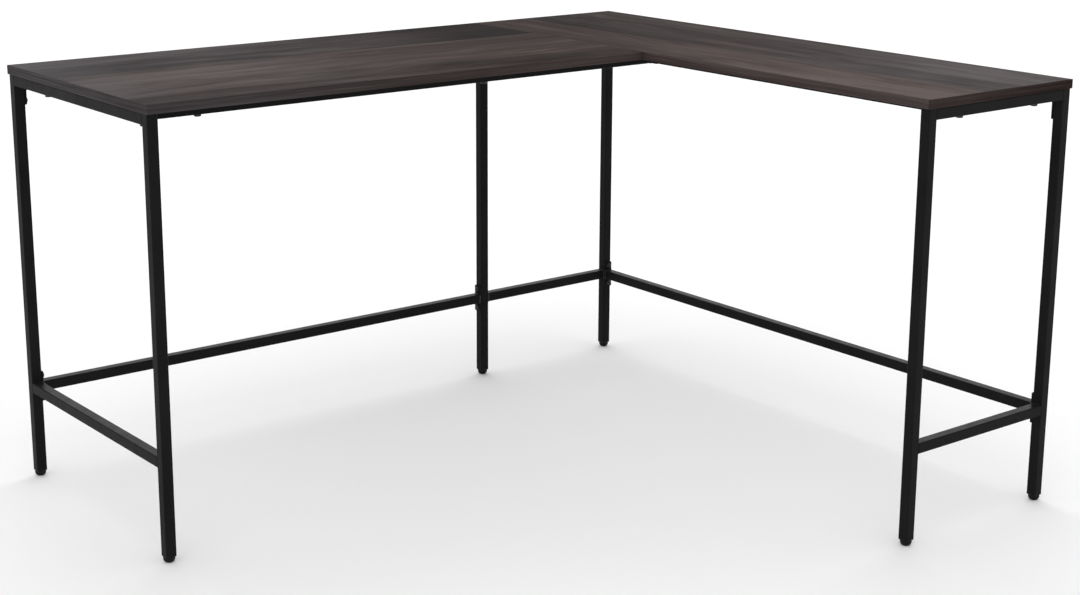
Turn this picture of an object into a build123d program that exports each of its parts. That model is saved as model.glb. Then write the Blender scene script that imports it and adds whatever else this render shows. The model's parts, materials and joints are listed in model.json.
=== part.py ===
from build123d import *
import os

# Corner desk: a main top along the back, a return top along the right side, on three welded
# square-tube frames that long rails and stretchers bolt together.
# Millimetres. Origin on the floor under the middle of the outline. +X runs along the back edge
# towards the return, +Y runs to the back, +Z is up.

# ---- Driving dimensions ----
desk_width = 1380
desk_depth = 1220
desk_height = 760
main_depth = 528
return_width = 366
board_thickness = 16
band_thickness = 1.0
edge_ease = 0.8

tube = 19
tube_wall = 1.2
tube_corner = 2
overhang = 2
stretcher_height = 171
front_rail_setback = 54
inner_rail_setback = 76

plate_thickness = 3
plate_corner = 2.5
bolt_radius = 3
bolt_head_radius = 5.8
bolt_head_height = 4
bolt_reach = 12
socket_width = 4
socket_depth = 2
rivet_nut_radius = 4.4
rivet_nut_bulge_radius = 5.6
rivet_nut_length = 10
rivet_nut_bulge_length = 3.5
clearance = 0.1

screw_radius = 3
screw_head_radius = 6
screw_head_height = 4
screw_grip = 11
cross_slot_length = 6
cross_slot_width = 1.2
cross_slot_depth = 2
board_insert_radius = 4.6
board_insert_length = 12.5

dowel_radius = 4
dowel_length = 30
dowel_chamfer = 1

foot_radius = 10
foot_sole_radius = 6
foot_height = 10
foot_rim = 3.5
stud_radius = 4
stud_embed = 7
stud_reach = 25
collar_thickness = 1.5
insert_length = 24

# ---- Places worked out from them ----
left = -desk_width / 2
right = desk_width / 2
back = desk_depth / 2
front = -desk_depth / 2
seam_x = right - return_width
main_front = back - main_depth
board_bottom = desk_height - board_thickness
half_tube = tube / 2
inset = overhang + half_tube
top_rail_z = board_bottom - half_tube
leg_bottom = foot_height + collar_thickness

left_x = left + inset
seam_leg_x = seam_x + inset
right_x = right - inset
back_y = back - inset
main_front_y = main_front + inset
return_front_y = front + inset
front_rail_y = main_front + front_rail_setback + half_tube
inner_rail_x = seam_x + inner_rail_setback + half_tube

X_DIR = Vector(1, 0, 0)
Y_DIR = Vector(0, 1, 0)
Z_DIR = Vector(0, 0, 1)

leg_places = {
    "rear_left_leg": (left_x, back_y),
    "front_left_leg": (left_x, main_front_y),
    "rear_middle_leg": (seam_leg_x, back_y),
    "rear_corner_leg": (right_x, back_y),
    "return_inner_leg": (seam_leg_x, return_front_y),
    "return_outer_leg": (right_x, return_front_y),
}

parts = {}


# ---- Square tube ----
def tube_section(size, corner):
    return RectangleRounded(size, size, corner)


def square_tube(start, end):
    """A length of hollow square tube from one point to another, along one axis."""
    start = Vector(*start)
    run = Vector(*end) - start
    section = tube_section(tube, tube_corner)
    section -= tube_section(tube - 2 * tube_wall, tube_corner - tube_wall)
    side = X_DIR if abs(run.X) < tube else Y_DIR
    return extrude(Plane(origin=start, x_dir=side, z_dir=run) * section, run.length)


# ---- Bolted joints: a plate welded to the end of a rail, bolted to the face of another tube ----
class BoltedJoint:
    """A plate on a tube's face: where, which way it faces, its long direction, span and bolts."""

    def __init__(self, place, facing, along, low, high, bolts):
        self.place = Vector(*place)
        self.facing = facing
        self.along = along
        self.low = low
        self.high = high
        self.bolts = bolts

    def plane(self, offset=0.0, height=0.0):
        origin = self.place + self.along * offset + self.facing * height
        return Plane(origin=origin, x_dir=self.along, z_dir=self.facing)


def stretcher_joint(place, facing):
    """Bolts above and below the tube."""
    reach = half_tube + 18.5
    bolt = half_tube + 9.5
    return BoltedJoint(place, facing, Z_DIR, -reach, reach, (-bolt, bolt))


def top_rail_joint(place, facing):
    """The board is directly above, so both bolts are below the tube."""
    upper_bolt = half_tube + 7
    lower_bolt = half_tube + 28
    return BoltedJoint(place, facing, Z_DIR, -half_tube - 35, half_tube, (-upper_bolt, -lower_bolt))


def cross_rail_joint(place, facing, along):
    """Under the boards a plate lies flat against a rail, with a bolt on each side of the tube."""
    reach = half_tube + 16.5
    bolt = half_tube + 9
    return BoltedJoint(place, facing, along, -reach, reach, (-bolt, bolt))


def end_plate(joint):
    length = joint.high - joint.low
    middle = (joint.high + joint.low) / 2
    plate = extrude(joint.plane(middle) * RectangleRounded(length, tube, plate_corner), plate_thickness)
    for offset in joint.bolts:
        hole = Circle(bolt_radius + clearance)
        plate -= extrude(joint.plane(offset) * hole, plate_thickness)
    return plate


def machine_bolt(joint, offset):
    """Button-head bolt with a hexagon socket, its head on the outside of the plate."""
    head_plane = joint.plane(offset, plate_thickness)
    head = Cylinder(bolt_head_radius, bolt_head_height, align=(Align.CENTER, Align.CENTER, Align.MIN))
    head = fillet(head.edges().group_by(Axis.Z)[-1], bolt_head_height * 0.7)
    socket = extrude(RegularPolygon(socket_width / 2, 6, major_radius=False), socket_depth)
    head -= Pos(0, 0, bolt_head_height - socket_depth) * socket
    shank_length = plate_thickness + bolt_reach
    shank = Cylinder(bolt_radius, shank_length, align=(Align.CENTER, Align.CENTER, Align.MAX))
    shank = chamfer(shank.edges().group_by(Axis.Z)[0], 0.6)
    return head_plane.location * (head + shank)


def rivet_nut(joint, offset):
    """Threaded insert pressed into the tube's wall, flush outside and bulged behind the wall."""
    depth_of_bulge = tube_wall + rivet_nut_bulge_length
    barrel = Cylinder(rivet_nut_radius, rivet_nut_length, align=(Align.CENTER, Align.CENTER, Align.MAX))
    bulge = Cylinder(rivet_nut_bulge_radius, rivet_nut_bulge_length,
                     align=(Align.CENTER, Align.CENTER, Align.MIN))
    bore = Cylinder(bolt_radius + clearance, 2 * rivet_nut_length)
    nut = barrel + Pos(0, 0, -depth_of_bulge) * bulge - bore
    return joint.plane(offset).location * nut


def rivet_nut_holes(joint):
    """The holes that a joint's rivet nuts need in the wall behind the plate."""
    hole = Cylinder(rivet_nut_radius + clearance, 2 * tube_wall)
    return [joint.plane(offset, -tube_wall / 2).location * hole for offset in joint.bolts]


# ---- Board screws: up through both walls of a rail into a threaded insert in the board ----
def spread_along(low, high, fractions):
    return [low + fraction * (high - low) for fraction in fractions]


def rail_screws():
    """name of a rail: (x, y) of the board screws that pass up through it."""
    front_gap = 33
    rear_gap = 143
    return_gap = 87
    end_ys = (main_front + front_gap, back - rear_gap)
    return_xs = (seam_x + return_gap, right - return_gap)
    back_xs = spread_along(left, seam_x, (0.12, 0.5, 0.88))
    front_xs = spread_along(left, seam_x, (0.12, 0.685))
    side_ys = spread_along(front, back, (0.1, 0.5, 0.9))
    inner_ys = spread_along(front, back, (0.06, 0.94))
    return {
        "left_end_top_rail": [(left_x, y) for y in end_ys],
        "corner_top_rail": [(x, back_y) for x in return_xs],
        "return_end_top_rail": [(x, return_front_y) for x in return_xs],
        "back_top_rail": [(x, back_y) for x in back_xs],
        "front_support_rail": [(x, front_rail_y) for x in front_xs],
        "inner_support_rail": [(inner_rail_x, y) for y in inner_ys],
        "side_top_rail": [(right_x, y) for y in side_ys],
    }


def board_screw(place):
    """Pan-head machine screw with a cross recess, pointing up."""
    head_top = top_rail_z - half_tube
    head = Cylinder(screw_head_radius, screw_head_height, align=(Align.CENTER, Align.CENTER, Align.MAX))
    head = fillet(head.edges().group_by(Axis.Z)[0], screw_head_height * 0.4)
    slot = Box(cross_slot_length, cross_slot_width, cross_slot_depth,
               align=(Align.CENTER, Align.CENTER, Align.MIN))
    for turn in (0, 90):
        head -= Pos(0, 0, -screw_head_height) * Rot(0, 0, turn) * slot
    shank = Cylinder(screw_radius, tube + screw_grip, align=(Align.CENTER, Align.CENTER, Align.MIN))
    shank = chamfer(shank.edges().group_by(Axis.Z)[-1], 0.6)
    return Pos(*place, head_top) * (head + shank)


def board_insert(place):
    """Threaded sleeve let into the underside of a board, with its lower end against the rail."""
    sleeve = Cylinder(board_insert_radius, board_insert_length,
                      align=(Align.CENTER, Align.CENTER, Align.MIN))
    bore = Cylinder(screw_radius + clearance, 3 * board_insert_length)
    return Pos(*place, board_bottom) * (sleeve - bore)


def upright_hole(place, radius, bottom, top):
    """A hole round a screw or an insert, a little wider than it."""
    hole = Cylinder(radius + clearance, top - bottom, align=(Align.CENTER, Align.CENTER, Align.MIN))
    return Pos(*place, bottom) * hole


# ---- Boards ----
def dowel_places():
    """Middles of the dowels that line up the two boards across the seam."""
    z = desk_height - board_thickness / 2
    return [(seam_x, main_front + fraction * main_depth, z) for fraction in (0.15, 0.5, 0.85)]


def dowel():
    peg = Cylinder(dowel_radius, dowel_length)
    peg = chamfer(peg.edges().filter_by(GeomType.CIRCLE), dowel_chamfer)
    return Rot(0, 90, 0) * peg


def dowel_hole(place):
    return Pos(*place) * Rot(0, 90, 0) * Cylinder(dowel_radius + clearance, dowel_length + 1)


def board_core(low_x, high_x, low_y, high_y, screws):
    """The laminated panel inside its edge bands, with its blind insert holes and dowel holes."""
    width = high_x - low_x - 2 * band_thickness
    depth = high_y - low_y - 2 * band_thickness
    middle = ((low_x + high_x) / 2, (low_y + high_y) / 2, board_bottom + board_thickness / 2)
    core = Pos(*middle) * Box(width, depth, board_thickness)
    for place in screws:
        if low_x < place[0] < high_x and low_y < place[1] < high_y:
            core -= upright_hole(place, board_insert_radius, board_bottom,
                                 board_bottom + board_insert_length)
    for place in dowel_places():
        core -= dowel_hole(place)
    return core


def edge_strip(start, length, outward, run):
    """One strip of edge band with eased outer edges. start is the middle of its inner face."""
    section = Rectangle(band_thickness, board_thickness, align=(Align.MIN, Align.CENTER))
    section = fillet(section.vertices().group_by(Axis.X)[-1], edge_ease)
    return extrude(Plane(origin=start, x_dir=outward, z_dir=run) * section, length)


def edge_bands(low_x, high_x, low_y, high_y):
    """Four strips round a board: the ones along X run its full width."""
    z = board_bottom + board_thickness / 2
    t = band_thickness
    strips = [
        edge_strip((low_x, low_y + t, z), high_x - low_x, -Y_DIR, X_DIR),
        edge_strip((low_x, high_y - t, z), high_x - low_x, Y_DIR, X_DIR),
        edge_strip((low_x + t, low_y + t, z), high_y - low_y - 2 * t, -X_DIR, Y_DIR),
        edge_strip((high_x - t, low_y + t, z), high_y - low_y - 2 * t, X_DIR, Y_DIR),
    ]
    bored = []
    for strip in strips:
        for place in dowel_places():
            strip -= dowel_hole(place)
        bored.append(strip.solid())
    return bored


# ---- Feet ----
def leg_insert(x, y):
    """Plastic plug in the leg's lower end, with a collar under the tube and a threaded bore."""
    inner = tube - 2 * tube_wall - 2 * clearance
    plug = extrude(tube_section(inner, tube_corner - tube_wall), insert_length)
    collar = extrude(tube_section(tube, tube_corner), -collar_thickness)
    bore = Cylinder(stud_radius + clearance, 4 * insert_length)
    return Pos(x, y, leg_bottom) * (plug + collar - bore)


def foot_pad(x, y):
    """Round moulded glide with a domed underside and a flat sole."""
    shoulder = foot_height - foot_rim
    with BuildPart() as pad:
        with BuildSketch(Plane.XZ):
            with BuildLine():
                Line((0, 0), (foot_sole_radius, 0))
                ThreePointArc((foot_sole_radius, 0), (foot_radius - 1.1, shoulder * 0.42),
                              (foot_radius, shoulder))
                Line((foot_radius, shoulder), (foot_radius, foot_height))
                Line((foot_radius, foot_height), (0, foot_height))
                Line((0, foot_height), (0, 0))
            make_face()
        revolve(axis=Axis.Z)
    socket = Cylinder(stud_radius + clearance / 2, stud_embed, align=(Align.CENTER, Align.CENTER, Align.MAX))
    return Pos(x, y, 0) * (pad.part - Pos(0, 0, foot_height) * socket)


def foot_stud(x, y):
    stud = Cylinder(stud_radius, stud_embed + stud_reach, align=(Align.CENTER, Align.CENTER, Align.MIN))
    stud = chamfer(stud.edges().group_by(Axis.Z)[-1], 0.8)
    return Pos(x, y, foot_height - stud_embed) * stud


# ---- Tubes ----
def between(low, high):
    """The two ends of a tube that fills the gap between two tube centre lines."""
    return low + half_tube, high - half_tube


def add_welded_rail(name, start, end):
    parts[name] = square_tube(start, end)


def add_frame_rails():
    """Top rails and lower stretchers that are welded between the legs of the three frames."""
    y0, y1 = between(main_front_y, back_y)
    for name, z in (("left_end_top_rail", top_rail_z), ("left_end_stretcher", stretcher_height)):
        add_welded_rail(name, (left_x, y0, z), (left_x, y1, z))
    x0, x1 = between(seam_leg_x, right_x)
    for frame, y in (("corner", back_y), ("return_end", return_front_y)):
        add_welded_rail(f"{frame}_top_rail", (x0, y, top_rail_z), (x1, y, top_rail_z))
        add_welded_rail(f"{frame}_stretcher", (x0, y, stretcher_height), (x1, y, stretcher_height))


def long_members():
    """name: (low joint, high joint) of each bolted member; its tube fills the gap between plates."""
    x0, x1 = between(left_x, seam_leg_x)
    y0, y1 = between(return_front_y, back_y)
    inner_face_x = inner_rail_x - half_tube
    return {
        "back_top_rail": (top_rail_joint((x0, back_y, top_rail_z), X_DIR),
                          top_rail_joint((x1, back_y, top_rail_z), -X_DIR)),
        "back_stretcher": (stretcher_joint((x0, back_y, stretcher_height), X_DIR),
                           stretcher_joint((x1, back_y, stretcher_height), -X_DIR)),
        "side_top_rail": (top_rail_joint((right_x, y0, top_rail_z), Y_DIR),
                          top_rail_joint((right_x, y1, top_rail_z), -Y_DIR)),
        "side_stretcher": (stretcher_joint((right_x, y0, stretcher_height), Y_DIR),
                           stretcher_joint((right_x, y1, stretcher_height), -Y_DIR)),
        "front_support_rail": (cross_rail_joint((x0, front_rail_y, top_rail_z), X_DIR, Y_DIR),
                               cross_rail_joint((inner_face_x, front_rail_y, top_rail_z), -X_DIR, Y_DIR)),
        "inner_support_rail": (cross_rail_joint((inner_rail_x, y0, top_rail_z), Y_DIR, X_DIR),
                               cross_rail_joint((inner_rail_x, y1, top_rail_z), -Y_DIR, X_DIR)),
    }


# What the low and the high joint of each long member is bolted to.
bolted_to = {
    "back_top_rail": ("rear_left_leg", "rear_middle_leg"),
    "back_stretcher": ("rear_left_leg", "rear_middle_leg"),
    "side_top_rail": ("return_outer_leg", "rear_corner_leg"),
    "side_stretcher": ("return_outer_leg", "rear_corner_leg"),
    "front_support_rail": ("left_end_top_rail", "inner_support_rail"),
    "inner_support_rail": ("return_end_top_rail", "corner_top_rail"),
}


def build_tubes():
    for name, (x, y) in leg_places.items():
        parts[name] = square_tube((x, y, leg_bottom), (x, y, board_bottom))
    add_frame_rails()
    members = long_members()
    for name, (low, high) in members.items():
        start = low.place + low.facing * plate_thickness
        end = high.place + high.facing * plate_thickness
        parts[name] = square_tube(start, end)
    for name, joints in members.items():
        parts[f"{name}_plates"] = [end_plate(joint) for joint in joints]
        for joint, mate in zip(joints, bolted_to[name]):
            for hole in rivet_nut_holes(joint):
                parts[mate] -= hole
    every_joint = [joint for joints in members.values() for joint in joints]
    parts["frame_bolts"] = [machine_bolt(j, offset) for j in every_joint for offset in j.bolts]
    parts["rivet_nuts"] = [rivet_nut(j, offset) for j in every_joint for offset in j.bolts]


def drill_rails(screws):
    """Clearance holes for the board screws through both walls of their rails."""
    for name, places in screws.items():
        for place in places:
            parts[name] -= upright_hole(place, screw_radius, board_bottom - tube, board_bottom)


def build_boards(screws):
    main_outline = (left, seam_x, main_front, back)
    return_outline = (seam_x, right, front, back)
    parts["main_top"] = board_core(*main_outline, screws)
    parts["return_top"] = board_core(*return_outline, screws)
    parts["main_edge_bands"] = edge_bands(*main_outline)
    parts["return_edge_bands"] = edge_bands(*return_outline)
    parts["seam_dowels"] = [Pos(*place) * dowel() for place in dowel_places()]


def build_feet():
    for leg, (x, y) in leg_places.items():
        foot = leg.replace("_leg", "_foot")
        parts[leg + "_insert"] = leg_insert(x, y)
        parts[foot + "_pad"] = foot_pad(x, y)
        parts[foot + "_stud"] = foot_stud(x, y)


def write_parts():
    os.makedirs("parts", exist_ok=True)
    for name, shape in parts.items():
        if isinstance(shape, list):
            shape = Compound(children=[piece.solid() for piece in shape])
        else:
            shape = shape.solid()
        shape.label = name
        export_step(shape, f"parts/{name}.step")


screws_by_rail = rail_screws()
every_screw = [place for places in screws_by_rail.values() for place in places]
build_tubes()
drill_rails(screws_by_rail)
parts["board_screws"] = [board_screw(place) for place in every_screw]
parts["board_inserts"] = [board_insert(place) for place in every_screw]
build_boards(every_screw)
build_feet()
write_parts()
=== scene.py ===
import json
import math
import random

import bmesh
import bpy
from mathutils import Euler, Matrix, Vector


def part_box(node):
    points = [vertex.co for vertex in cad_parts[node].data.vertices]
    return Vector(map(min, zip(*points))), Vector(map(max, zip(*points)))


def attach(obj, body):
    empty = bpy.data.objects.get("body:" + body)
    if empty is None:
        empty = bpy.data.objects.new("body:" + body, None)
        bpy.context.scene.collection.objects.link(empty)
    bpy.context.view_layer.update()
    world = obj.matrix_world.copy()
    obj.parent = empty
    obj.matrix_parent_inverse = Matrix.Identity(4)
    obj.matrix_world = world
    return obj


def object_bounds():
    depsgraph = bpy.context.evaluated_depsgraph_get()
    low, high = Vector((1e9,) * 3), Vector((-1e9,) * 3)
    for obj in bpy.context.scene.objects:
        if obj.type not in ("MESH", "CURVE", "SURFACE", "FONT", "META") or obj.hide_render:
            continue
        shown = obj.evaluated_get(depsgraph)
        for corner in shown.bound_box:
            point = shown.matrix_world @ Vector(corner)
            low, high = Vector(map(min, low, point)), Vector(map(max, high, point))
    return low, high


# A dark wood-grain corner desk on a black powder-coated steel frame.
# Metres. +X runs along the back edge towards the return, +Y to the back, +Z up.

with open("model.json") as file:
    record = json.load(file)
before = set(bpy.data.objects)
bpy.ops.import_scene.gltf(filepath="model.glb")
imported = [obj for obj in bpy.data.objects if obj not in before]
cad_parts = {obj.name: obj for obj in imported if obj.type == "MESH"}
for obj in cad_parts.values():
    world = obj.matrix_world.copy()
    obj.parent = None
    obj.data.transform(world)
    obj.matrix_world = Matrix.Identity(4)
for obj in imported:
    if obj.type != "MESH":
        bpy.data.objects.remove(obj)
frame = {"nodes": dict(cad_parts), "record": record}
cad_low, cad_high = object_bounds()

MM = 0.001
DESK = "desk"

# ---- Places read from the frame ----
main_low, main_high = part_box("main_edge_bands")
return_low, return_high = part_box("return_edge_bands")
board_bottom = main_low.z
board_top = main_high.z
seam_x = return_low.x


# ---- Node helpers ----
class Shader:
    """A small wrapper that builds one material's or world's node tree."""

    def __init__(self, tree):
        self.tree = tree
        self.tree.nodes.clear()

    def plug(self, socket, value):
        if isinstance(value, bpy.types.NodeSocket):
            self.tree.links.new(value, socket)
        elif value is not None:
            socket.default_value = value

    def node(self, kind, inputs=None, **settings):
        made = self.tree.nodes.new(kind)
        for name, value in settings.items():
            setattr(made, name, value)
        for name, value in (inputs or {}).items():
            self.plug(made.inputs[name], value)
        return made

    def math(self, operation, a, b=None, clamp=False):
        made = self.node("ShaderNodeMath", {0: a}, operation=operation, use_clamp=clamp)
        if b is not None:
            self.plug(made.inputs[1], b)
        return made.outputs[0]

    def remap(self, value, from_low, from_high, to_low, to_high, smooth=False):
        inputs = {"Value": value, "From Min": from_low, "From Max": from_high,
                  "To Min": to_low, "To Max": to_high}
        kind = "SMOOTHSTEP" if smooth else "LINEAR"
        made = self.node("ShaderNodeMapRange", inputs, interpolation_type=kind)
        return made.outputs["Result"]

    def noise(self, vector, scale, detail=3.0, rough=0.5, distortion=0.0):
        inputs = {"Vector": vector, "Scale": scale, "Detail": detail, "Roughness": rough,
                  "Distortion": distortion}
        return self.node("ShaderNodeTexNoise", inputs).outputs["Fac"]

    def stretched(self, vector, x, y, z):
        made = self.node("ShaderNodeVectorMath", {0: vector, 1: (x, y, z)}, operation="MULTIPLY")
        return made.outputs["Vector"]

    def mix_colour(self, factor, a, b, blend="MIX"):
        made = self.node("ShaderNodeMix", data_type="RGBA", blend_type=blend)
        self.plug(made.inputs["Factor"], factor)
        self.plug(made.inputs[6], a)
        self.plug(made.inputs[7], b)
        return made.outputs[2]

    def ramp(self, factor, stops):
        made = self.node("ShaderNodeValToRGB", {"Fac": factor})
        elements = made.color_ramp.elements
        while len(elements) < len(stops):
            elements.new(1.0)
        for element, (place, colour) in zip(elements, stops):
            element.position = place
            element.color = (*colour, 1.0)
        return made.outputs["Color"]

    def split(self, vector):
        return self.node("ShaderNodeSeparateXYZ", {0: vector}).outputs

    def object_place(self):
        return self.node("ShaderNodeTexCoord").outputs["Object"]

    def facing(self):
        return self.split(self.node("ShaderNodeNewGeometry").outputs["Normal"])

    def bump(self, height, strength, distance, normal=None):
        inputs = {"Height": height, "Strength": strength, "Distance": distance}
        made = self.node("ShaderNodeBump", inputs)
        self.plug(made.inputs["Normal"], normal)
        return made.outputs["Normal"]

    def finish(self, colour, roughness, normal=None, **fixed):
        inputs = {"Base Color": colour, "Roughness": roughness, "Normal": normal}
        surface = self.node("ShaderNodeBsdfPrincipled", inputs)
        for name, value in fixed.items():
            surface.inputs[name.replace("_", " ")].default_value = value
        output = self.node("ShaderNodeOutputMaterial")
        self.plug(output.inputs["Surface"], surface.outputs["BSDF"])


def new_material(name):
    made = bpy.data.materials.new(name)
    made.use_nodes = True
    return made, Shader(made.node_tree)


# ---- Wood-grain laminate ----
# The print is of smoked planks laid side by side. Tone 0 is smoky brown and 1 is pale grain, and
# the darkest smoke lies below 0. Coolness 0 is the warm ink and 1 the cool one.
# A plank is (width, tone at its first side, tone at its last side, coolness).
MAIN_PLANKS = (
    (0.200, 0.20, 0.11, 0.75),
    (0.165, 0.23, 0.29, 0.42),
    (0.163, 0.26, -0.05, 0.38),
)
RETURN_PLANKS = (
    (0.136, -0.03, -0.03, 0.02),
    (0.230, -0.30, -0.08, 0.34),
)
# A shade is (along from, along to, across from, across to, tone, coolness): it fades in along the
# board, over that span across it. Each shade is partly the print's own tone and partly painted
# light: the darkening of the main board towards the seam and inner corner is painted shade, and the
# lighter left end of the main board and the lighter front of the return are painted light.
MAIN_PRINT_AND_PAINTED_LIGHT = (
    (seam_x - 0.35, seam_x - 0.07, 0.0, 0.200, -0.40, -0.10),
    (seam_x - 0.30, seam_x - 0.04, 0.200, 0.365, -0.17, 0.0),
    (main_low.x + 0.16, main_low.x, 0.0, 0.528, 0.14, 0.22),
    (-0.36, 0.10, 0.0, 0.528, -0.24, -0.40),
)
RETURN_PRINT_AND_PAINTED_LIGHT = (
    (0.50, -0.55, 0.0, 0.366, 0.44, 0.08),
    (0.0, -0.45, 0.136, 0.366, 0.03, 0.28),
)
PLANK_LINE = 0.0007
SHADE_EDGE = 0.001
SHADE_RAGGED = 0.5
LAMINATE_TONE = 0.47
LAMINATE_GLOSS = 0.002

# Edge bands: their own tone, and how far the front, return end and left faces stray from it.
# Those strays are painted light and shade: front faces and the left end face lighter, the return's
# end face darker.
EDGE_TONE = 0.52
FRONT_FACE_PAINTED_LIGHT = 0.05
END_FACE_PAINTED_SHADE = -0.38
LEFT_FACE_PAINTED_LIGHT = 0.12

# Each grain layer is (cycles per metre along the grain, and across it).
BROAD_GRAIN = (2.3, 12.0)
BAND_GRAIN = (1.3, 46.0)
STREAK_GRAIN = (4.2, 190.0)
FIBRE_GRAIN = (22.0, 900.0)
PORE_GRAIN = (60.0, 1500.0)
RINGS_PER_METRE = 58.0
PLANK_SLIDE = 3.7
PLANK_SLICE = 7.0
SWAY = 0.09

# Inks from the darkest smoke through tone 0 and 0.5 to tone 1.
DARKEST_TONE = -0.3
INK_TONES = (DARKEST_TONE, 0.0, 0.5, 1.0)
WARM_GRAIN = (
    (0.0085, 0.0064, 0.0060),
    (0.0190, 0.0130, 0.0118),
    (0.0530, 0.0380, 0.0350),
    (0.1120, 0.0850, 0.0790),
)
COOL_GRAIN = (
    (0.0072, 0.0070, 0.0076),
    (0.0150, 0.0145, 0.0158),
    (0.0450, 0.0420, 0.0445),
    (0.0970, 0.0910, 0.0940),
)


def plank_layout(s, across, planks):
    """Which plank a point is in, its base tone and coolness, and the thin line between planks."""
    index, tone, cool, line = 0.0, 0.0, 0.0, 0.0
    start = 0.0
    for number, (width, first_tone, last_tone, coolness) in enumerate(planks):
        after_start = s.math("GREATER_THAN", across, start) if number else 1.0
        last = number == len(planks) - 1
        before_end = 1.0 if last else s.math("LESS_THAN", across, start + width)
        inside = s.math("MULTIPLY", after_start, before_end)
        slope = s.remap(across, start, start + width, first_tone, last_tone, smooth=True)
        index = s.math("ADD", index, s.math("MULTIPLY", inside, float(number)))
        tone = s.math("ADD", tone, s.math("MULTIPLY", inside, slope))
        cool = s.math("ADD", cool, s.math("MULTIPLY", inside, coolness))
        if number:
            gap = s.math("ABSOLUTE", s.math("SUBTRACT", across, start))
            line = s.math("MAXIMUM", line, s.remap(gap, 0.0, PLANK_LINE, 1.0, 0.0))
        start += width
    return index, tone, cool, line


def wood_figure(s, along, across, index):
    """Grain layers from broad smoky figure down to fibres and open pores."""
    slid = s.math("ADD", along, s.math("MULTIPLY", index, PLANK_SLIDE))
    flat = s.node("ShaderNodeCombineXYZ", {"X": slid, "Y": across, "Z": index}).outputs[0]
    sway = s.noise(s.stretched(flat, 1.7, 6.0, 5.0), 1.0, 3.0, 0.5)
    swayed = s.math("ADD", across, s.math("MULTIPLY", s.math("SUBTRACT", sway, 0.5), SWAY))
    place = s.node("ShaderNodeCombineXYZ", {"X": slid, "Y": swayed, "Z": index}).outputs[0]

    def layer(grain, detail, rough, distortion=0.0):
        return s.noise(s.stretched(place, *grain, PLANK_SLICE), 1.0, detail, rough, distortion)

    broad = layer(BROAD_GRAIN, 5.0, 0.62, 0.5)
    bands = layer(BAND_GRAIN, 4.0, 0.6, 0.25)
    streaks = layer(STREAK_GRAIN, 4.0, 0.62, 0.2)
    fibres = layer(FIBRE_GRAIN, 3.0, 0.6)
    pores = s.remap(layer(PORE_GRAIN, 2.0, 0.5), 0.62, 0.76, 0.0, 1.0)
    ring_place = s.math("ADD", swayed, s.math("MULTIPLY", sway, 0.12))
    rings = s.math("FRACT", s.math("MULTIPLY", ring_place, RINGS_PER_METRE))
    return broad, bands, streaks, fibres, pores, s.math("POWER", rings, 4.0)


def swing(s, value, amount, low=0.3, high=0.7):
    """A noise value spread to plus or minus half of amount."""
    return s.remap(value, low, high, -amount / 2, amount / 2)


def grain_colour(s, tone, cool):
    """The print's colour for a tone, mixed from its warm and cool inks."""
    spread = 1.0 - DARKEST_TONE
    places = [(ink_tone - DARKEST_TONE) / spread for ink_tone in INK_TONES]
    tone = s.remap(tone, DARKEST_TONE, 1.0, 0.0, 1.0)
    warm = s.ramp(tone, tuple(zip(places, WARM_GRAIN)))
    cold = s.ramp(tone, tuple(zip(places, COOL_GRAIN)))
    return s.mix_colour(cool, warm, cold)


def wood_laminate(name, planks, along_axis, across_origin, across_sign, print_and_painted_light):
    """Smoked wood print along along_axis (0 is X, 1 is Y), and a plain dark backing underneath."""
    material, s = new_material(name)
    position = s.object_place()
    axes = s.split(position)
    along = axes[along_axis]
    across = s.math("MULTIPLY", s.math("SUBTRACT", axes[1 - along_axis], across_origin), across_sign)
    index, tone, cool, line = plank_layout(s, across, planks)
    broad, bands, streaks, fibres, pores, rings = wood_figure(s, along, across, index)
    ragged = s.math("MULTIPLY", s.math("SUBTRACT", bands, 0.5), SHADE_RAGGED)
    ragged_along = s.math("ADD", along, ragged)
    # Each shade adds print tone and painted light: painted shade towards the main board's seam and
    # inner corner, and painted light at its left end and the return's front.
    for start, stop, low, high, shade_tone, shade_cool in print_and_painted_light:
        reach = s.remap(ragged_along, start, stop, 0.0, 1.0, smooth=True)
        above = s.remap(across, low - SHADE_EDGE, low + SHADE_EDGE, 0.0, 1.0)
        below = s.remap(across, high - SHADE_EDGE, high + SHADE_EDGE, 1.0, 0.0)
        mask = s.math("MULTIPLY", reach, s.math("MULTIPLY", above, below))
        tone = s.math("ADD", tone, s.math("MULTIPLY", mask, shade_tone))
        cool = s.math("ADD", cool, s.math("MULTIPLY", mask, shade_cool))

    layers = (
        swing(s, broad, 0.66),
        swing(s, bands, 0.38),
        swing(s, streaks, 0.22),
        swing(s, fibres, 0.14),
        s.math("MULTIPLY", rings, -0.09),
        s.math("MULTIPLY", pores, -0.12),
        s.math("MULTIPLY", line, -0.22),
    )
    for layer in layers:
        tone = s.math("ADD", tone, layer)
    tone = s.math("ADD", tone, LAMINATE_TONE)
    cool = s.math("ADD", cool, swing(s, bands, 0.5), clamp=True)
    colour = grain_colour(s, tone, cool)

    mottle = s.noise(position, 300.0, 3.0)
    backing = s.mix_colour(mottle, (0.012, 0.011, 0.010, 1), (0.018, 0.016, 0.015, 1))
    colour = s.mix_colour(s.remap(s.facing()[2], -0.6, -0.4, 1.0, 0.0), colour, backing)

    height = s.math("SUBTRACT", s.math("MULTIPLY", fibres, 0.5), s.math("MULTIPLY", pores, 0.7))
    height = s.math("SUBTRACT", height, line)
    roughness = s.remap(streaks, 0.25, 0.75, 0.46, 0.62)
    s.finish(colour, roughness, s.bump(height, 0.35, 0.00025), Specular_IOR_Level=LAMINATE_GLOSS)
    return material


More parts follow.
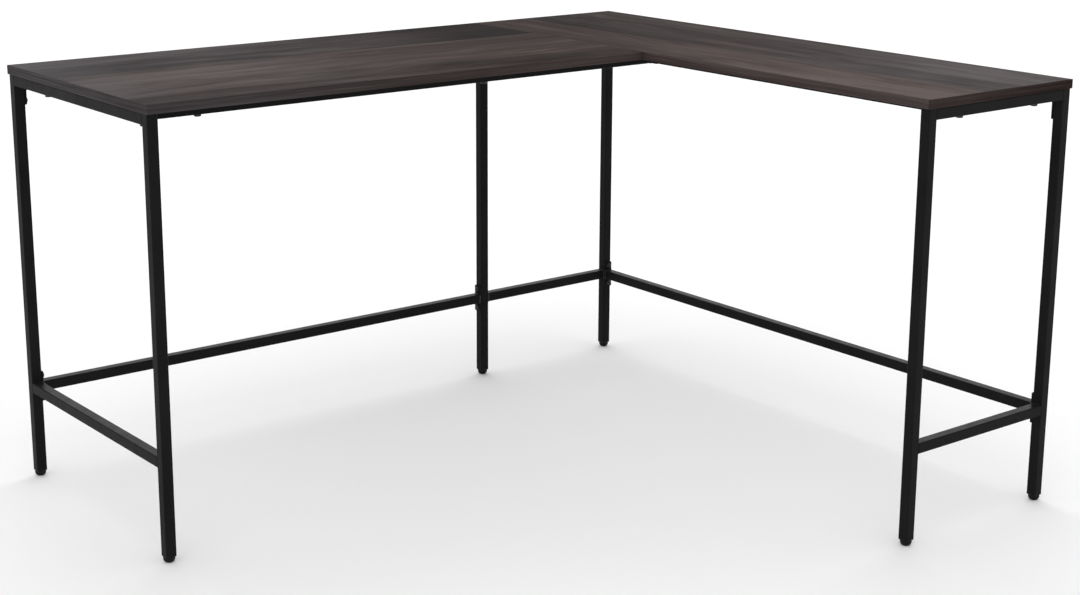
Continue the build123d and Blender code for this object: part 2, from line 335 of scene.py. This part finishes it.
def wood_edge_band(name):
    """Matching print on the edge bands: grain lines along the edge, thin layers up it."""
    material, s = new_material(name)
    place = s.object_place()
    bands = s.noise(s.stretched(place, 2.0, 2.0, 160.0), 1.0, 4.0, 0.6, 0.3)
    fibres = s.noise(s.stretched(place, 14.0, 14.0, 900.0), 1.0, 3.0, 0.6)
    slow = s.noise(s.stretched(place, 1.4, 1.4, 16.0), 1.0, 2.0)
    tone = s.math("ADD", swing(s, bands, 0.45), swing(s, fibres, 0.22))
    tone = s.math("ADD", tone, swing(s, slow, 0.28))
    axes = s.split(place)
    # Painted light and shade by face: front faces and the left end face lighter, the return's end
    # face darker.
    front_painted_light = s.remap(s.facing()[1], -0.7, -0.9, 0.0, FRONT_FACE_PAINTED_LIGHT)
    end_painted_shade = s.remap(axes[1], return_low.y + 4 * MM, return_low.y + 2 * MM, 0.0, END_FACE_PAINTED_SHADE)
    tone = s.math("ADD", tone, s.math("ADD", front_painted_light, end_painted_shade))
    left_painted_light = s.remap(axes[0], main_low.x + 2 * MM, main_low.x + 1 * MM, 0.0, LEFT_FACE_PAINTED_LIGHT)
    tone = s.math("ADD", s.math("ADD", tone, left_painted_light), EDGE_TONE)
    cool = s.remap(axes[0], main_low.x, seam_x, 0.85, 0.15)
    cool = s.math("ADD", cool, swing(s, slow, 0.3), clamp=True)
    colour = grain_colour(s, tone, cool)
    normal = s.bump(s.math("ADD", fibres, bands), 0.25, 0.0002)
    roughness = s.remap(bands, 0.3, 0.7, 0.48, 0.62)
    s.finish(colour, roughness, normal, Specular_IOR_Level=LAMINATE_GLOSS)
    return material


# ---- Metal and plastic ----
def powder_coat(name, weld=False):
    """Fine-textured black powder coat with slight orange peel, shinier where it pools on a weld."""
    material, s = new_material(name)
    place = s.object_place()
    peel = s.noise(place, 900.0, 3.0, 0.55)
    grit = s.noise(place, 4200.0, 2.0, 0.5)
    cloud = s.noise(place, 9.0, 4.0, 0.6)
    colour = s.ramp(cloud, ((0.3, (0.0086, 0.0085, 0.0088)), (0.7, (0.0126, 0.0124, 0.0128))))
    height = s.math("ADD", peel, s.math("MULTIPLY", grit, 0.35))
    normal = s.bump(height, 0.28 if weld else 0.16, 0.0002)
    smudge = s.noise(s.stretched(place, 40.0, 40.0, 14.0), 1.0, 4.0, 0.65)
    gloss = (0.16, 0.30) if weld else (0.34, 0.47)
    roughness = s.remap(smudge, 0.3, 0.7, *gloss)
    s.finish(colour, roughness, normal, Specular_IOR_Level=0.45 if weld else 0.035)
    return material


def metal_finish(name, dark, light, roughness_low, roughness_high, metallic, scratch=260.0):
    """Plain fastener steel: small tonal spread, fine scratches and tool marks."""
    material, s = new_material(name)
    place = s.object_place()
    cloud = s.noise(place, 130.0, 4.0, 0.6)
    lines = s.noise(s.stretched(place, scratch, scratch, scratch * 6), 1.0, 3.0, 0.6)
    colour = s.ramp(cloud, ((0.3, dark), (0.7, light)))
    roughness = s.remap(lines, 0.3, 0.7, roughness_low, roughness_high)
    normal = s.bump(s.math("ADD", lines, s.math("MULTIPLY", cloud, 0.5)), 0.2, 0.0001)
    s.finish(colour, roughness, normal, Metallic=metallic)
    return material


def moulded_plastic(name):
    """Black moulded plastic with a fine spark-eroded grain and a little scuffing."""
    material, s = new_material(name)
    place = s.object_place()
    grain = s.noise(place, 2600.0, 3.0, 0.6)
    scuff = s.noise(s.stretched(place, 130.0, 130.0, 420.0), 1.0, 4.0, 0.65)
    colour = s.ramp(scuff, ((0.35, (0.0035, 0.0035, 0.0038)), (0.75, (0.0080, 0.0080, 0.0082))))
    roughness = s.remap(scuff, 0.3, 0.7, 0.42, 0.62)
    s.finish(colour, roughness, s.bump(grain, 0.3, 0.0002), Specular_IOR_Level=0.16)
    return material


def beech(name):
    """Plain beech for the hidden dowels, with short dark flecks along the grain."""
    material, s = new_material(name)
    place = s.object_place()
    fleck = s.noise(s.stretched(place, 220.0, 1400.0, 1400.0), 1.0, 3.0, 0.6)
    colour = s.ramp(fleck, ((0.35, (0.36, 0.22, 0.12)), (0.65, (0.58, 0.40, 0.24))))
    s.finish(colour, s.remap(fleck, 0.3, 0.7, 0.55, 0.7), s.bump(fleck, 0.3, 0.0002))
    return material


BOLT_BLACKS = ((0.010, 0.010, 0.011), (0.022, 0.022, 0.023))
SCREW_BLACKS = ((0.012, 0.012, 0.012), (0.026, 0.025, 0.025))
ZINC_GREYS = ((0.46, 0.46, 0.47), (0.62, 0.62, 0.60))

materials = {
    "main_laminate": wood_laminate("main_laminate", MAIN_PLANKS, 0, main_high.y, -1.0, MAIN_PRINT_AND_PAINTED_LIGHT),
    "return_laminate": wood_laminate("return_laminate", RETURN_PLANKS, 1, seam_x, 1.0, RETURN_PRINT_AND_PAINTED_LIGHT),
    "edge_band": wood_edge_band("edge_band"),
    "black_frame": powder_coat("black_frame"),
    "weld": powder_coat("weld", weld=True),
    "black_bolt": metal_finish("black_bolt", *BOLT_BLACKS, 0.3, 0.45, 0.35),
    "black_screw": metal_finish("black_screw", *SCREW_BLACKS, 0.35, 0.5, 0.35),
    "zinc_steel": metal_finish("zinc_steel", *ZINC_GREYS, 0.22, 0.38, 1.0),
    "foot_plastic": moulded_plastic("foot_plastic"),
    "insert_plastic": moulded_plastic("insert_plastic"),
    "beech_dowel": beech("beech_dowel"),
}


def paint_cad_nodes():
    slots = {row["node"]: row["material_slot"] for row in frame["record"]["subparts"]}
    for name, piece in frame["nodes"].items():
        piece.data.materials.clear()
        piece.data.materials.append(materials[slots[name]])


# ---- Weld beads ----
BEAD_RADIUS = 1.5 * MM
BEAD_SINK = 0.5 * MM
RIPPLE_PITCH = 2.2 * MM
RIPPLE_DEPTH = 0.10
RIPPLE_UNEVENNESS = 0.05
BEAD_STEP = 0.55 * MM
BEAD_SIDES = 8
BEAD_END_SIZE = 0.35
BEAD_END_RINGS = 4
TUBE_CORNER = 2 * MM
CORNER_STEPS = 5


def section_outline(half, corner):
    """Points round a rounded square, one about every BEAD_STEP, starting at the top left."""
    points = []
    straight = 2 * (half - corner)
    run_steps = int(straight / BEAD_STEP)
    for quarter in range(4):
        turn = -quarter * math.pi / 2
        ahead = Vector((math.cos(turn), math.sin(turn)))
        out = Vector((-ahead.y, ahead.x))
        start = out * half - ahead * (half - corner)
        points += [start + ahead * straight * i / run_steps for i in range(run_steps)]
        centre = (out + ahead) * (half - corner)
        for i in range(CORNER_STEPS):
            angle = math.pi / 2 * i / CORNER_STEPS
            points.append(centre + (out * math.cos(angle) + ahead * math.sin(angle)) * corner)
    return points


def add_bead(mesh, points, outward, chance):
    """Sweeps a rippled bead along an open row of points; outward gives the joint's normal."""
    rings = []
    travelled = 0.0
    for i, point in enumerate(points):
        before, after = points[max(i - 1, 0)], points[min(i + 1, len(points) - 1)]
        ahead = (after - before).normalized()
        side = ahead.cross(outward).normalized()
        travelled += (point - before).length
        ripple = RIPPLE_DEPTH * math.sin(2 * math.pi * travelled / RIPPLE_PITCH)
        ripple += chance.uniform(-RIPPLE_UNEVENNESS, RIPPLE_UNEVENNESS)
        from_end = min(i, len(points) - 1 - i)
        end_taper = min(1.0, BEAD_END_SIZE + from_end / BEAD_END_RINGS)
        radius = BEAD_RADIUS * (1 + ripple) * end_taper
        ring = []
        for k in range(BEAD_SIDES):
            angle = 2 * math.pi * k / BEAD_SIDES
            offset = side * math.cos(angle) + outward * math.sin(angle)
            ring.append(mesh.verts.new(point + offset * radius))
        rings.append(ring)
    for first, second in zip(rings, rings[1:]):
        for k in range(BEAD_SIDES):
            n = (k + 1) % BEAD_SIDES
            mesh.faces.new((first[k], first[n], second[n], second[k]))
    mesh.faces.new(reversed(rings[0]))
    mesh.faces.new(rings[-1])


def bead_points(centre, axis, half, bare):
    """The bead's path round a tube's end. bare(x, y) says where the tube has no bead."""
    up = Vector((0, 0, 1))
    side = up.cross(axis)
    outline = section_outline(half - BEAD_SINK, TUBE_CORNER)
    kept = [p for p in outline if not bare(side * p.x + up * p.y)]
    if len(kept) == len(outline):
        kept.append(kept[0])
    else:
        start = max(range(len(kept)), key=lambda i: (kept[i] - kept[i - 1]).length)
        kept = kept[start:] + kept[:start]
    return [centre + side * p.x + up * p.y for p in kept]


def tube_ends(name):
    """Both ends of a straight rail: centre of the end face, and the way out of the tube."""
    low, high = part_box(name)
    middle = (low + high) / 2
    size = high - low
    axis = Vector((1, 0, 0)) if size.x > size.y else Vector((0, 1, 0))
    reach = axis * (size.dot(axis) / 2)
    return (middle - reach, -axis), (middle + reach, axis)


def weld_beads(name, rails, flush_side=None):
    """One bead at each end of each rail, but none on the ground flush side or under a board."""
    mesh = bmesh.new()
    chance = random.Random(name)
    for rail in rails:
        low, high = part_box(rail)
        half = (high.z - low.z) / 2
        covered = high.z > board_bottom - half
        reach = half - BEAD_RADIUS * 1.3

        def bare(offset):
            ground = flush_side is not None and offset.dot(flush_side) > reach
            return ground or (covered and offset.z > reach)

        for centre, axis in tube_ends(rail):
            path = bead_points(centre - axis * BEAD_SINK, axis, half, bare)
            add_bead(mesh, path, -axis, chance)
    bmesh.ops.recalc_face_normals(mesh, faces=mesh.faces)
    data = bpy.data.meshes.new(name)
    mesh.to_mesh(data)
    mesh.free()
    for face in data.polygons:
        face.use_smooth = True
    piece = bpy.data.objects.new(name, data)
    bpy.context.scene.collection.objects.link(piece)
    data.materials.append(materials["weld"])
    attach(piece, DESK)


WELDED_FRAMES = {
    "left_end": Vector((-1, 0, 0)),
    "corner": Vector((0, 1, 0)),
    "return_end": Vector((0, -1, 0)),
}
BOLTED_RAILS = ("back_top_rail", "back_stretcher", "side_top_rail", "side_stretcher",
                "front_support_rail", "inner_support_rail")


def add_welds():
    for part, outer in WELDED_FRAMES.items():
        weld_beads(f"{part}_frame_welds", (f"{part}_top_rail", f"{part}_stretcher"), outer)
    for rail in BOLTED_RAILS:
        weld_beads(f"{rail}_welds", (rail,))


# ---- Camera, floor and light ----
CAMERA_PLACE = Vector((-1.996, -2.5505, 1.2448))
CAMERA_YAW = 38.32
CAMERA_PITCH = 13.70
CAMERA_ROLL = 0.29
CAMERA_LENS = 63.02
CAMERA_SHIFT = -0.05
SENSOR_WIDTH = 36.0
FLOOR_RADIUS = 60.0
FLOOR_GAP = 0.05 * MM
SKY_STRENGTH = 0.80


def add_camera():
    data = bpy.data.cameras.new("camera")
    data.sensor_fit = "HORIZONTAL"
    data.sensor_width = SENSOR_WIDTH
    data.lens = CAMERA_LENS
    data.shift_y = CAMERA_SHIFT
    data.clip_end = 200.0
    camera = bpy.data.objects.new("camera", data)
    camera.location = CAMERA_PLACE
    turn = Euler((math.radians(90 - CAMERA_PITCH), 0, math.radians(-CAMERA_YAW)), "XYZ")
    roll = Euler((0, 0, math.radians(CAMERA_ROLL)), "XYZ")
    camera.rotation_mode = "QUATERNION"
    camera.rotation_quaternion = turn.to_quaternion() @ roll.to_quaternion()
    bpy.context.scene.collection.objects.link(camera)
    bpy.context.scene.camera = camera


def add_floor():
    material, s = new_material("studio_floor")
    mottle = s.noise(s.object_place(), 1.3, 3.0)
    colour = s.ramp(mottle, ((0.3, (0.94, 0.94, 0.94)), (0.7, (0.95, 0.95, 0.95))))
    s.finish(colour, s.remap(mottle, 0.3, 0.7, 0.85, 0.95), Specular_IOR_Level=0.1)
    mesh = bmesh.new()
    bmesh.ops.create_circle(mesh, cap_ends=True, segments=96, radius=FLOOR_RADIUS)
    data = bpy.data.meshes.new("studio_floor")
    mesh.to_mesh(data)
    mesh.free()
    data.materials.append(material)
    floor = bpy.data.objects.new("studio_floor", data)
    floor.location.z = cad_low.z - FLOOR_GAP
    bpy.context.scene.collection.objects.link(floor)


def add_soft_sun(name, towards, strength, spread):
    """A very wide, shadow-softening light; towards points from the desk to the light."""
    data = bpy.data.lights.new(name, "SUN")
    data.energy = strength
    data.angle = math.radians(spread)
    light = bpy.data.objects.new(name, data)
    light.rotation_mode = "QUATERNION"
    light.rotation_quaternion = Vector(towards).to_track_quat("Z", "Y")
    bpy.context.scene.collection.objects.link(light)


def add_lights():
    world = bpy.data.worlds.new("studio")
    world.use_nodes = True
    s = Shader(world.node_tree)
    background = s.node("ShaderNodeBackground", {"Color": (1, 1, 1, 1), "Strength": SKY_STRENGTH})
    output = s.node("ShaderNodeOutputWorld")
    s.plug(output.inputs["Surface"], background.outputs[0])
    bpy.context.scene.world = world
    add_soft_sun("key_light", (-0.32, -0.36, 0.87), 0.35, 60)
    add_soft_sun("rim_light", (0.54, 0.76, 0.38), 1.8, 90)


paint_cad_nodes()
add_welds()
add_camera()
add_floor()
add_lights()
bpy.context.scene.view_settings.view_transform = "Standard"
